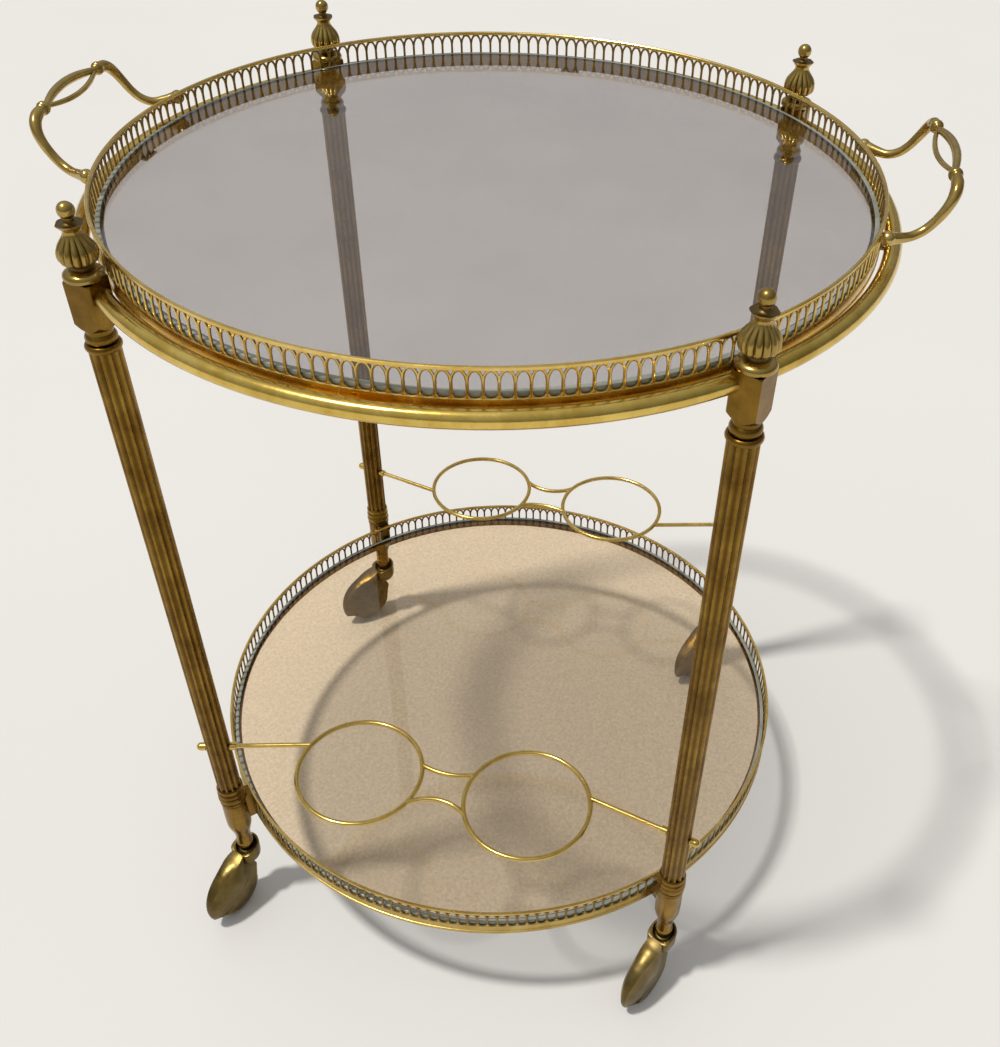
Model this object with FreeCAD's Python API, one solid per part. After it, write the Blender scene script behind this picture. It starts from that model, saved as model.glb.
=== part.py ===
import FreeCAD, Part
import math
import os

# Round two-tier brass bar cart on four fluted legs, in millimetres and degrees.
# The origin lies on the floor under the middle of the cart, +Z is up, the handles lie along X
# and the front bottle rack faces -Y.

V = FreeCAD.Vector
ORIGIN = V(0, 0, 0)
UP = V(0, 0, 1)
ACROSS = V(0, 1, 0)

# Driving dimensions: plan of the frame
LEG_SQUARE = 410.0
# Each leg: side in x, side in y, turn of its block from facing the middle, heading of its caster
LEGS = {
    "front_left": (-1, -1, 36.0, 250.0),
    "front_right": (1, -1, 19.0, 244.0),
    "back_left": (-1, 1, 28.0, 228.0),
    "back_right": (1, 1, 28.0, 236.0),
}
SIDES = {"front": 270.0, "right": 0.0, "back": 90.0, "left": 180.0}

# Driving dimensions: heights stacked up one leg from the floor
CASTER_NECK = 16.0
FERRULE_LENGTH = 67.5
COLLAR_HEIGHT = 23.5
SHAFT_LENGTH = 462.0
NECK_HEIGHT = 16.0
BLOCK_HEIGHT = 33.0

# Driving dimensions: fits
FIT = 0.1
RUN = 0.05
BRAZE = 0.03

# Driving dimensions: fluted leg
LEG_DIA = 21.0
LEG_BORE = 14.0
FLUTES = 12
FLUTE_WIDTH = 4.0
FLUTE_DEPTH = 1.2
SPIGOT_LENGTH = 18.0

# Driving dimensions: corner block and its neck
BLOCK_SIDE = 20.0
BLOCK_EDGE = 1.0
BLOCK_FOOT_BEVEL = 5.0
BLOCK_TOP_BEVEL = 1.7
NECK_DIA = 17.0
NECK_BEAD_DIA = 20.6
NECK_RING_DIA = 23.8
NECK_RING_HEIGHT = 5.0
STUD_DIA = 6.0
STUD_GRIP = 14.0

# Driving dimensions: finial
FOOT_DIA = 25.4
FOOT_HEIGHT = 6.0
WAIST_DIA = 13.0
WAIST_HEIGHT = 5.0
BULB_DIA = 25.2
BULB_HEIGHT = 20.0
BULB_BELLY = 9.6
THROAT_DIA = 10.0
THROAT_HEIGHT = 3.6
LIP_DIA = 16.4
LIP_HEIGHT = 1.8
BALL_DIA = 10.8
BALL_NECK_DIA = 6.4
BALL_NECK_HEIGHT = 3.3

# Driving dimensions: foot ferrule
COLLAR_DIA = 24.4
COLLAR_RINGS = 3
COLLAR_GROOVE = 1.6
BELL_TOP_DIA = 22.6
BELL_FOOT_DIA = 13.8
BELL_FOOT_LENGTH = 15.0
BELL_SHOULDER = 32.0
BELL_HOLLOW = 0.8

# Driving dimensions: caster
WHEEL_DIA = 57.0
WHEEL_WIDTH = 13.0
WHEEL_CROWN = 5.0
WHEEL_RECESS = 2.0
HUB_DIA = 16.0
AXLE_DIA = 5.0
TRAIL = 27.0
HOOD_GAP = 1.5
HOOD_WALL = 1.5
HOOD_SLOPE = 9.0
HOOD_RIDGE = 2.0
HOOD_POINT = 2.5
HOOD_LIP = 4.5
HOOD_LEAN = 27.0
CUP_DIA = 24.4
CUP_WALL = 2.6
CUP_POCKET = 2.6
STEM_ROOT = 4.0
CUP_FRONT_RISE = 13.5
CUP_BACK_RISE = 7.0
CUP_DEPTH = 13.5
STEM_DIA = 7.8
STEM_GRIP = 36.0
STEM_COLLAR_DIA = 13.0

# Driving dimensions: rail round the tray
RAIL_DIA = 12.0
RAIL_GAP = 3.2
RAIL_DROP = 9.7
REST_WIDTH = 16.0
REST_LENGTH = 13.0
REST_THICKNESS = 1.6
REST_SEAT = 2.0

# Driving dimensions: gallery strip, ledge and glass of both tiers
TRAY_CLEARANCE = 1.0
TRAY_RIM_RISE = 26.9
SHELF_GAP = 4.3
SHELF_RIM_DROP = 20.1
STRIP_HEIGHT = 31.4
STRIP_WALL = 1.2
OPENINGS = 200
OPENING_HEIGHT = 16.9
OPENING_POINT = 3.6
TOP_BAND = 4.3
BAR_WIDTH = 2.2
LEDGE_WIDTH = 6.0
LEDGE_WALL = 1.5
GLASS_THICKNESS = 4.0
GLASS_GAP = 0.8

# Driving dimensions: fixings of the lower shelf
BOSS_WIDTH = 12.0
SCREW_DIA = 4.0
SCREW_GRIP = 4.0
SCREW_HEAD_DIA = 7.0
SCREW_HEAD_HEIGHT = 2.0

# Driving dimensions: tray handles
HANDLES = {"handle_right": 6.3, "handle_left": 183.5}
HANDLE_DIA = 6.4
HANDLE_FOOT_DIA = 12.0
HANDLE_FOOT_REACH = 4.0
HANDLE_FOOT_DROP = 6.2
HANDLE_FOOT_SPREAD = 77.0
ELBOW_REACH = 18.5
ELBOW_DROP = 1.5
ELBOW_SPREAD = 65.0
ELBOW_BEND = 22.0
SHOULDER_REACH = 35.0
SHOULDER_RISE = 30.5
SHOULDER_SPREAD = 61.5
SHOULDER_BEND = 9.0
GRIP_COLLAR_SPREAD = 41.5
GRIP_COLLAR_DIA = 9.4
ALMOND_SPREAD = 30.0
ALMOND_BOW = 6.4
ALMOND_TILT = 30.0
ALMOND_WIRE = 4.2

# Driving dimensions: bottle racks
RACK_RISE = 54.4
RACK_WIRE = 4.2
BOTTLE_RING_DIA = 108.0
RING_GAP = 41.2
RING_INSET = 2.7
ARM_ANGLE = 19.0
INNER_LINK_ANGLE = 20.5
INNER_LINK_BOW = 5.0
OUTER_LINK_ANGLE = 25.5
OUTER_LINK_BOW = 10.0
SLEEVE_DIA = 7.2
SLEEVE_LENGTH = 5.0
KNOB_DIA = 7.4
KNOB_SHANK = 4.5
KNOB_GRIP = 5.0

# Heights worked out from the stack
hood_top_z = WHEEL_DIA + HOOD_GAP + HOOD_WALL
cup_front_z = hood_top_z + CUP_FRONT_RISE
cup_back_z = hood_top_z + CUP_BACK_RISE
cup_floor_z = cup_back_z - CUP_POCKET
ferrule_z = hood_top_z + CASTER_NECK
collar_z = ferrule_z + FERRULE_LENGTH
shaft_z = collar_z + COLLAR_HEIGHT
neck_z = shaft_z + SHAFT_LENGTH
block_z = neck_z + NECK_HEIGHT
finial_z = block_z + BLOCK_HEIGHT
rail_z = finial_z - RAIL_DROP
tray_rim_z = rail_z + TRAY_RIM_RISE
shelf_rim_z = shaft_z - SHELF_RIM_DROP
rack_z = shaft_z + RACK_RISE

# Radii worked out from the plan
leg_circle = LEG_SQUARE / math.sqrt(2)
block_reach = math.hypot(BLOCK_SIDE / 2, BLOCK_SIDE / 2 - BLOCK_EDGE)
leg_reach = max(block_reach, BULB_DIA / 2, FOOT_DIA / 2)
tray_radius = leg_circle - leg_reach - TRAY_CLEARANCE
rail_radius = tray_radius + RAIL_GAP + RAIL_DIA / 2
shelf_radius = leg_circle - COLLAR_DIA / 2 - SHELF_GAP
strip_facet = math.cos(math.pi / OPENINGS)


def turned(*steps):
    """Solid turned about Z. A step is a corner (r, z), or an arc given by a point on it and its end."""
    here = V(steps[0][0], 0, steps[0][1])
    start = here
    edges = []
    for step in steps[1:]:
        if isinstance(step[0], tuple):
            via = V(step[0][0], 0, step[0][1])
            end = V(step[1][0], 0, step[1][1])
            edges.append(Part.Arc(here, via, end).toShape())
        else:
            end = V(step[0], 0, step[1])
            edges.append(Part.makeLine(here, end))
        here = end
    edges.append(Part.makeLine(here, start))
    return Part.Face(Part.Wire(edges)).revolve(ORIGIN, UP, 360)


def bar(diameter, start, end):
    """Round bar between two points."""
    run = end - start
    return Part.makeCylinder(diameter / 2, run.Length, start, run)


def bent_bar(diameter, points, bends):
    """Round bar along straight runs, joined at each inner point by a tangent arc of its bend radius."""
    edges = []
    here = points[0]
    for before, corner, after, bend in zip(points, points[1:], points[2:], bends):
        arrive = (corner - before).normalize()
        leave = (after - corner).normalize()
        half = arrive.getAngle(leave) / 2
        first = corner - arrive * (bend * math.tan(half))
        last = corner + leave * (bend * math.tan(half))
        inward = (leave - arrive).normalize()
        middle = corner + inward * (bend / math.cos(half) - bend)
        edges.append(Part.makeLine(here, first))
        edges.append(Part.Arc(first, middle, last).toShape())
        here = last
    edges.append(Part.makeLine(here, points[-1]))
    profile = Part.Wire(Part.makeCircle(diameter / 2, points[0], points[1] - points[0]))
    return Part.Wire(edges).makePipeShell([profile], True, False)


def bowed_bar(diameter, start, middle, end):
    """Round bar along the arc through three points."""
    arc = Part.Arc(start, middle, end)
    profile = Part.Wire(Part.makeCircle(diameter / 2, start, arc.tangent(arc.FirstParameter)[0]))
    return Part.Wire(arc.toShape()).makePipeShell([profile], True, False)


def joined(pieces):
    """One solid from pieces that run into each other."""
    return pieces[0].multiFuse(pieces[1:]).removeSplitter()


def spun(shape, angle):
    """Copy of a shape turned about Z."""
    copy = shape.copy()
    copy.rotate(ORIGIN, UP, angle)
    return copy


def moved(shape, place):
    """Copy of a shape carried to a place."""
    copy = shape.copy()
    copy.translate(place)
    return copy


def leg_place(leg):
    """Foot of a leg's axis on the floor."""
    side_x, side_y = LEGS[leg][:2]
    return V(side_x * LEG_SQUARE / 2, side_y * LEG_SQUARE / 2, 0)


def leg_angle(leg):
    """Direction of a leg from the middle of the cart."""
    place = leg_place(leg)
    return math.degrees(math.atan2(place.y, place.x))


def polar(radius, angle, z):
    """Point at a radius and a direction from the middle of the cart."""
    return V(radius * math.cos(math.radians(angle)), radius * math.sin(math.radians(angle)), z)


def ring_centre(side):
    """Centre of the bottle ring on one side of the front rack."""
    return V(side * (BOTTLE_RING_DIA + RING_GAP) / 2, -LEG_SQUARE / 2 + RING_INSET, rack_z)


def arm_run(side):
    """Where one arm of the front rack leaves its ring, and its direction from there to the leg's axis."""
    angle = math.radians(ARM_ANGLE)
    root = ring_centre(side) + V(side * math.cos(angle), math.sin(angle), 0) * (BOTTLE_RING_DIA / 2)
    axis = V(side * LEG_SQUARE / 2, -LEG_SQUARE / 2, rack_z)
    return root, (axis - root).normalize(), axis


def both_racks(front):
    """The front piece and its copy on the back rack."""
    return [front, spun(front, 180)]


def fluted_shaft():
    """Hollow column with round flutes all the way up."""
    cutter = (FLUTE_WIDTH ** 2 / 4 + FLUTE_DEPTH ** 2) / (2 * FLUTE_DEPTH)
    centre = LEG_DIA / 2 - FLUTE_DEPTH + cutter
    flutes = []
    for number in range(FLUTES):
        middle = polar(centre, 360 * number / FLUTES, shaft_z)
        flutes.append(Part.makeCylinder(cutter, SHAFT_LENGTH, middle))
    column = Part.makeCylinder(LEG_DIA / 2, SHAFT_LENGTH, V(0, 0, shaft_z))
    bore = Part.makeCylinder(LEG_BORE / 2, SHAFT_LENGTH, V(0, 0, shaft_z))
    return column.cut(Part.makeCompound(flutes + [bore]))


def rack_hole(leg):
    """Hole through a leg for its rack arm."""
    side_x, side_y = LEGS[leg][:2]
    root, along, axis = arm_run(-side_x * side_y)
    hole = bar(RACK_WIRE + 2 * FIT, axis - along * LEG_DIA, axis + along * LEG_DIA)
    return hole if side_y < 0 else spun(hole, 180)


def corner_block():
    """Square block, its corners turned off above and below, on a beaded neck with a spigot into the leg."""
    half = BLOCK_SIDE / 2
    corner = half * math.sqrt(2)
    inner = half - BLOCK_EDGE
    outline = [V(half, -inner, 0), V(half, inner, 0), V(inner, half, 0), V(-inner, half, 0),
               V(-half, inner, 0), V(-half, -inner, 0), V(-inner, -half, 0), V(inner, -half, 0)]
    prism = Part.Face(Part.makePolygon(outline + outline[:1])).extrude(V(0, 0, BLOCK_HEIGHT))
    prism.translate(V(0, 0, block_z))
    lathe = turned((0, block_z), (half, block_z), (corner, block_z + BLOCK_FOOT_BEVEL),
                   (corner, finial_z - BLOCK_TOP_BEVEL), (FOOT_DIA / 2, finial_z), (0, finial_z))
    spigot = LEG_BORE / 2 - FIT
    neck = NECK_DIA / 2
    ring = NECK_RING_DIA / 2
    ring_top = neck_z + NECK_RING_HEIGHT
    bead_top = block_z - (block_z - ring_top) / 3
    bead_middle = (ring_top + bead_top) / 2
    throat = turned((0, neck_z - SPIGOT_LENGTH), (spigot, neck_z - SPIGOT_LENGTH), (spigot, neck_z),
                    (LEG_DIA / 2, neck_z), ((ring, neck_z + NECK_RING_HEIGHT / 2), (LEG_DIA / 2, ring_top)),
                    (neck, ring_top), ((NECK_BEAD_DIA / 2, bead_middle), (neck, bead_top)),
                    (neck, block_z + BRAZE), (0, block_z + BRAZE))
    stud_hole = Part.makeCylinder(STUD_DIA / 2 + FIT, BLOCK_HEIGHT, V(0, 0, finial_z - STUD_GRIP - FIT))
    return joined([prism.common(lathe), throat]).cut(stud_hole)


def finial():
    """Half-round foot, waist, bulb, dish lip and ball, turned in one piece and bored for its stud."""
    foot = FOOT_DIA / 2
    foot_flat = foot - FOOT_HEIGHT / 2
    waist_z = finial_z + FOOT_HEIGHT
    bulb_z = waist_z + WAIST_HEIGHT
    throat_z = bulb_z + BULB_HEIGHT
    lip_z = throat_z + THROAT_HEIGHT
    neck_foot_z = lip_z + LIP_HEIGHT
    neck_top_z = neck_foot_z + BALL_NECK_HEIGHT
    ball = BALL_DIA / 2
    ball_neck = BALL_NECK_DIA / 2
    ball_z = neck_top_z + math.sqrt(ball ** 2 - ball_neck ** 2)
    body = turned((0, finial_z), (foot_flat, finial_z),
                  ((foot, finial_z + FOOT_HEIGHT / 2), (foot_flat, waist_z)),
                  (WAIST_DIA / 2, waist_z), (WAIST_DIA / 2, bulb_z),
                  ((BULB_DIA / 2, bulb_z + BULB_BELLY), (THROAT_DIA / 2, throat_z)),
                  (LIP_DIA / 2 - LIP_HEIGHT / 2, lip_z), (LIP_DIA / 2, neck_foot_z),
                  (ball_neck, neck_foot_z), (ball_neck, neck_top_z), ((ball, ball_z), (0, ball_z + ball)))
    stud_hole = Part.makeCylinder(STUD_DIA / 2 + FIT, STUD_GRIP + FIT, V(0, 0, finial_z))
    return body.cut(stud_hole)


def stud():
    """Threaded stud between block and finial, drawn at its outer diameter."""
    return Part.makeCylinder(STUD_DIA / 2, 2 * STUD_GRIP, V(0, 0, finial_z - STUD_GRIP))


def ferrule():
    """Ringed collar and bell under a leg, with a spigot into the leg and a socket for the caster stem."""
    spigot = LEG_BORE / 2 - FIT
    ring = COLLAR_DIA / 2
    groove = ring - COLLAR_GROOVE
    bell = BELL_TOP_DIA / 2
    foot = BELL_FOOT_DIA / 2
    shoulder_z = collar_z - BELL_SHOULDER
    taper_z = ferrule_z + BELL_FOOT_LENGTH
    chord = math.hypot(bell - foot, shoulder_z - taper_z)
    hollow = ((foot + bell) / 2 - BELL_HOLLOW * (shoulder_z - taper_z) / chord,
              (taper_z + shoulder_z) / 2 + BELL_HOLLOW * (bell - foot) / chord)
    steps = [(0, ferrule_z), (foot, ferrule_z), (foot, taper_z), (hollow, (bell, shoulder_z)),
             (bell, collar_z), (groove, collar_z)]
    rise = COLLAR_HEIGHT / COLLAR_RINGS
    for number in range(COLLAR_RINGS):
        low = collar_z + number * rise
        steps.append(((ring, low + rise / 2), (groove, low + rise)))
    steps += [(spigot, shaft_z), (spigot, shaft_z + SPIGOT_LENGTH), (0, shaft_z + SPIGOT_LENGTH)]
    socket = Part.makeCylinder(STEM_DIA / 2 + RUN, STEM_GRIP + FIT, V(0, 0, ferrule_z))
    return turned(*steps).cut(socket)


def hood_drum(wall):
    """Drum about the axle, its shoulders sloped to a ridge: the hood, or the hollow a wall inside it."""
    rim = WHEEL_DIA / 2 + HOOD_GAP + HOOD_WALL
    crown = rim - HOOD_SLOPE
    flank = WHEEL_WIDTH / 2 + HOOD_GAP + HOOD_WALL
    point = rim + HOOD_POINT
    top = rim - wall if wall else point
    ridge = HOOD_RIDGE + (flank - HOOD_RIDGE) * (point - top) / (point - crown) - wall
    side = flank - wall
    drum = turned((0, -side), (crown, -side), (top, -ridge), (top, ridge), (crown, side), (0, side))
    drum.rotate(ORIGIN, V(1, 0, 0), 90)
    return moved(drum, V(TRAIL, 0, WHEEL_DIA / 2))


def hood_cover():
    """What the hood covers: a disc inside the wheel's rim, and all above a line leaning to the tail."""
    rim = WHEEL_DIA / 2 + HOOD_GAP + HOOD_WALL
    above = Part.makeBox(2 * rim, 2 * CUP_DIA, rim, V(-rim, -CUP_DIA, 0))
    above.rotate(ORIGIN, ACROSS, HOOD_LEAN)
    back = axle_bar(2 * rim, CUP_DIA).common(moved(above, V(TRAIL, 0, WHEEL_DIA / 2)))
    return joined([axle_bar(WHEEL_DIA - 2 * HOOD_LIP, CUP_DIA), back])


def axle_bar(diameter, half_length):
    """Bar along the caster's axle."""
    centre = V(TRAIL, 0, WHEEL_DIA / 2)
    return bar(diameter, centre - ACROSS * half_length, centre + ACROSS * half_length)


def hood_saddle():
    """Slope from the cup's back rim to the top of the wheel, its facet narrowing as it falls."""
    crown_z = hood_top_z - HOOD_SLOPE
    flank = WHEEL_WIDTH / 2 + HOOD_GAP + HOOD_WALL
    at_cup = (CUP_DIA / 4, cup_back_z, flank, HOOD_RIDGE)
    at_wheel = (TRAIL, hood_top_z, HOOD_RIDGE, flank)
    ends = []
    for x, top_z, top, foot in (at_cup, at_wheel):
        corners = [V(x, -foot, crown_z), V(x, foot, crown_z), V(x, top, top_z), V(x, -top, top_z)]
        ends.append(Part.makePolygon(corners + corners[:1]))
    return Part.makeLoft(ends, True, True)


def hood():
    """Caster hood: a shell over the back of the wheel, with a cup in front for the stem."""
    half = CUP_DIA / 2
    foot_z = cup_front_z - CUP_DEPTH
    side = [V(-half, -half, foot_z), V(half, -half, foot_z),
            V(half, -half, cup_back_z), V(-half, -half, cup_front_z)]
    wedge = Part.Face(Part.makePolygon(side + side[:1])).extrude(V(0, CUP_DIA, 0))
    cup = wedge.common(Part.makeCylinder(half, cup_front_z, ORIGIN))
    ball = Part.makeSphere(half, V(0, 0, foot_z))
    shell = joined([hood_drum(0).common(hood_cover()), cup, ball, hood_saddle()])
    pocket = Part.makeCylinder(half - CUP_WALL, CUP_DEPTH, V(0, 0, cup_floor_z))
    root = Part.makeCylinder(STEM_DIA / 2 + BRAZE, CUP_DEPTH, V(0, 0, cup_floor_z - STEM_ROOT))
    return shell.cut([hood_drum(HOOD_WALL), pocket, root, axle_bar(AXLE_DIA + 2 * BRAZE, CUP_DIA)])


def stem():
    """Caster stem: a pin with a long collar between the floor of the hood's cup and the ferrule."""
    root_z = cup_floor_z - STEM_ROOT
    pin = Part.makeCylinder(STEM_DIA / 2, ferrule_z + STEM_GRIP - root_z, V(0, 0, root_z))
    collar = Part.makeCylinder(STEM_COLLAR_DIA / 2, ferrule_z - RUN - cup_floor_z, V(0, 0, cup_floor_z))
    return joined([pin, collar])


def axle():
    """Axle pin riveted into both cheeks of the hood."""
    return axle_bar(AXLE_DIA, WHEEL_WIDTH / 2 + HOOD_GAP + HOOD_WALL)


def wheel():
    """Crowned wheel with a hub on each side, bored to run on its axle."""
    rim = WHEEL_DIA / 2
    half = WHEEL_WIDTH / 2
    tread = half - WHEEL_RECESS
    crown = rim - WHEEL_CROWN
    hub = HUB_DIA / 2
    edge = half - WHEEL_RECESS / 2
    bore = AXLE_DIA / 2 + RUN
    body = turned((bore, -half), (hub, -half), (hub, -tread), (crown, -edge),
                  ((rim, 0), (crown, edge)), (hub, tread), (hub, half), (bore, half))
    body.rotate(ORIGIN, V(1, 0, 0), 90)
    return moved(body, V(TRAIL, 0, WHEEL_DIA / 2))


def rail(side):
    """Quarter of the round rail, from one corner block to the next."""
    section = Part.Face(Part.Wire(Part.makeCircle(RAIL_DIA / 2, V(rail_radius, 0, rail_z), ACROSS)))
    quarter = spun(section, SIDES[side] - 45).revolve(ORIGIN, UP, 90)
    return max(quarter.cut(list(blocks.values())).Solids, key=lambda solid: solid.Volume)


def tray_rest(side):
    """Tab under the rail for the lift-off tray to stand on."""
    top_z = tray_rim_z - STRIP_HEIGHT
    tab = Part.makeBox(REST_LENGTH, REST_WIDTH, REST_THICKNESS,
                       V(rail_radius - REST_SEAT - REST_LENGTH, -REST_WIDTH / 2, top_z - REST_THICKNESS))
    return spun(tab, SIDES[side]).cut(rails[side])


def gallery(radius, rim_z):
    """Strip bent into a ring, one flat to each opening, and pierced with pointed openings."""
    inside = radius - STRIP_WALL
    pitch = 360.0 / OPENINGS
    walls = []
    for ring in (radius, inside):
        corners = [polar(ring, (number + 0.5) * pitch, rim_z - STRIP_HEIGHT) for number in range(OPENINGS)]
        walls.append(Part.Face(Part.makePolygon(corners + corners[:1])))
    strip = walls[0].cut(walls[1]).extrude(V(0, 0, STRIP_HEIGHT))
    half = radius * math.radians(pitch) / 2 - BAR_WIDTH / 2
    top = rim_z - TOP_BAND
    sill = top - OPENING_HEIGHT
    spring = top - OPENING_POINT
    depth = inside - STRIP_WALL
    outline = [V(depth, -half, sill), V(depth, half, sill), V(depth, half, spring),
               V(depth, 0, top), V(depth, -half, spring)]
    opening = Part.Face(Part.makePolygon(outline + outline[:1])).extrude(V(3 * STRIP_WALL, 0, 0))
    return strip.cut(Part.makeCompound([spun(opening, number * pitch) for number in range(OPENINGS)]))


def ledge(radius, rim_z):
    """Angle ring inside a gallery: its upright backs the band, its flange carries the glass."""
    outside = (radius - STRIP_WALL) * strip_facet - BRAZE
    seat_z = rim_z - TOP_BAND - OPENING_HEIGHT
    base_z = rim_z - STRIP_HEIGHT
    return turned((outside - LEDGE_WALL, base_z), (outside, base_z), (outside, seat_z),
                  (outside - LEDGE_WIDTH, seat_z), (outside - LEDGE_WIDTH, seat_z - LEDGE_WALL),
                  (outside - LEDGE_WALL, seat_z - LEDGE_WALL))


def glass(radius, rim_z):
    """Round pane lying on the ledge."""
    pane = (radius - STRIP_WALL) * strip_facet - GLASS_GAP
    return Part.makeCylinder(pane, GLASS_THICKNESS, V(0, 0, rim_z - TOP_BAND - OPENING_HEIGHT))


def shelf_fixing_z():
    """Height of the shelf's screws: the middle of the plain band."""
    return shelf_rim_z - (STRIP_HEIGHT + TOP_BAND + OPENING_HEIGHT) / 2


def shelf_radial(diameter, near, far, leg):
    """Radial bar at the height of the shelf's screws, towards a leg."""
    z = shelf_fixing_z()
    return bar(diameter, polar(near, leg_angle(leg), z), polar(far, leg_angle(leg), z))


def shelf_hole(leg):
    """Hole for a shelf screw, from inside the ledge to the end of its thread in the ferrule."""
    return shelf_radial(SCREW_DIA + 2 * FIT, shelf_radius - LEDGE_WIDTH, shelf_screw_end(), leg)


def shelf_screw_end():
    """Radius at which the shelf screws end inside the ferrules."""
    return leg_circle - BELL_TOP_DIA / 2 + SCREW_GRIP


def shelf_boss(leg):
    """Block between the shelf's strip and a ferrule, as tall as the strip."""
    foot = V(0, -BOSS_WIDTH / 2, shelf_rim_z - STRIP_HEIGHT)
    block = Part.makeBox(leg_circle, BOSS_WIDTH, STRIP_HEIGHT, foot)
    within = Part.makeCylinder(shelf_radius, shelf_rim_z, ORIGIN)
    return spun(block, leg_angle(leg)).cut([within, ferrules[leg], shelf_hole(leg)])


def shelf_screw(leg):
    """Screw through the ledge, the band and the boss into the ferrule, drawn without its thread."""
    seat = (shelf_radius - STRIP_WALL) * strip_facet - BRAZE - LEDGE_WALL - BRAZE
    shank = shelf_radial(SCREW_DIA, seat, shelf_screw_end() - FIT, leg)
    head = shelf_radial(SCREW_HEAD_DIA, seat - SCREW_HEAD_HEIGHT, seat, leg)
    return joined([shank, head])


def handle():
    """Cast handle on the +X side: two bent arms on ball feet, an almond grip between round collars."""
    foot_radius = tray_radius + HANDLE_FOOT_REACH
    foot_angle = math.degrees(math.asin(HANDLE_FOOT_SPREAD / foot_radius))
    foot_z = tray_rim_z - HANDLE_FOOT_DROP
    grip = V(tray_radius + SHOULDER_REACH, 0, foot_z + SHOULDER_RISE)
    tilt = math.radians(ALMOND_TILT)
    pieces = []
    for side in (-1, 1):
        foot = polar(foot_radius, side * foot_angle, foot_z)
        elbow = V(tray_radius + ELBOW_REACH, side * ELBOW_SPREAD, foot_z - ELBOW_DROP)
        shoulder = grip + ACROSS * (side * SHOULDER_SPREAD)
        collar = grip + ACROSS * (side * GRIP_COLLAR_SPREAD)
        tip = grip + ACROSS * (side * (ALMOND_SPREAD - ALMOND_WIRE / 2))
        pieces.append(Part.makeSphere(HANDLE_FOOT_DIA / 2, foot))
        pieces.append(bent_bar(HANDLE_DIA, [foot, elbow, shoulder, collar], [ELBOW_BEND, SHOULDER_BEND]))
        pieces.append(Part.makeSphere(GRIP_COLLAR_DIA / 2, collar))
        pieces.append(bar(HANDLE_DIA, collar, tip))
        almond = V(math.cos(tilt), 0, math.sin(tilt)) * (side * ALMOND_BOW)
        ends = [grip + ACROSS * (end * ALMOND_SPREAD) for end in (-1, 1)]
        pieces.append(bowed_bar(ALMOND_WIRE, ends[0], grip + almond, ends[1]))
    within = Part.makeCylinder(tray_radius, tray_rim_z)
    return joined(pieces).cut(within)


def rack():
    """Front bottle rack: two rings, two bowed links between them and an arm out through each leg."""
    pieces = []
    ring = BOTTLE_RING_DIA / 2
    for side in (-1, 1):
        pieces.append(moved(Part.makeTorus(ring, RACK_WIRE / 2), ring_centre(side)))
        root, along, axis = arm_run(side)
        pieces.append(bar(RACK_WIRE, root, axis + along * (LEG_DIA / 2 + KNOB_GRIP)))
    for angle, bow in ((INNER_LINK_ANGLE, -INNER_LINK_BOW), (-OUTER_LINK_ANGLE, OUTER_LINK_BOW)):
        turn = math.radians(angle)
        left = ring_centre(-1) + V(math.cos(turn), math.sin(turn), 0) * ring
        right = ring_centre(1) + V(-math.cos(turn), math.sin(turn), 0) * ring
        pieces.append(bowed_bar(RACK_WIRE, left, (left + right) * 0.5 + V(0, bow, 0), right))
    return joined(pieces)


def rack_sleeve(side):
    """Sleeve on a front rack arm, against the inside of its leg."""
    root, along, axis = arm_run(side)
    near = axis - along * (LEG_DIA / 2)
    tube = bar(SLEEVE_DIA, near - along * SLEEVE_LENGTH, near)
    return tube.cut(bar(RACK_WIRE + 2 * BRAZE, root, axis))


def rack_knob(side):
    """Domed nut on the end of a front rack arm, outside its leg."""
    root, along, axis = arm_run(side)
    near = axis + along * (LEG_DIA / 2)
    dome = near + along * KNOB_SHANK
    body = joined([bar(KNOB_DIA, near, dome), Part.makeSphere(KNOB_DIA / 2, dome, along, 0, 90, 360)])
    hole = bar(RACK_WIRE + 2 * BRAZE, axis, near + along * (KNOB_GRIP + BRAZE))
    return body.cut(hole)


# Pieces that repeat at the four legs
blocks = {}
ferrules = {}
nodes = {}
for leg in LEGS:
    block_turn, heading = LEGS[leg][2:]
    place = leg_place(leg)
    blocks[leg] = moved(spun(corner_block(), leg_angle(leg) + block_turn), place)
    ferrules[leg] = moved(ferrule(), place).cut(shelf_hole(leg))
    nodes["block_" + leg] = blocks[leg]
    nodes["ferrule_" + leg] = ferrules[leg]
    nodes["leg_" + leg] = moved(fluted_shaft(), place).cut(rack_hole(leg))
    nodes["finial_" + leg] = moved(finial(), place)
    nodes["stud_" + leg] = moved(stud(), place)
    nodes["caster_hood_" + leg] = moved(spun(hood(), heading), place)
    nodes["caster_stem_" + leg] = moved(spun(stem(), heading), place)
    nodes["caster_axle_" + leg] = moved(spun(axle(), heading), place)
    nodes["caster_wheel_" + leg] = moved(spun(wheel(), heading), place)

# Rail and the tabs under it
rails = {side: rail(side) for side in SIDES}
for side in SIDES:
    nodes["rail_" + side] = rails[side]
nodes["tray_rests"] = Part.makeCompound([tray_rest(side) for side in SIDES])

# Lift-off tray, its handles lying a little turned from the frame
nodes["tray_gallery"] = gallery(tray_radius, tray_rim_z)
nodes["tray_ledge"] = ledge(tray_radius, tray_rim_z)
nodes["tray_glass"] = glass(tray_radius, tray_rim_z)
for name, turn in HANDLES.items():
    nodes[name] = spun(handle(), turn)

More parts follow.
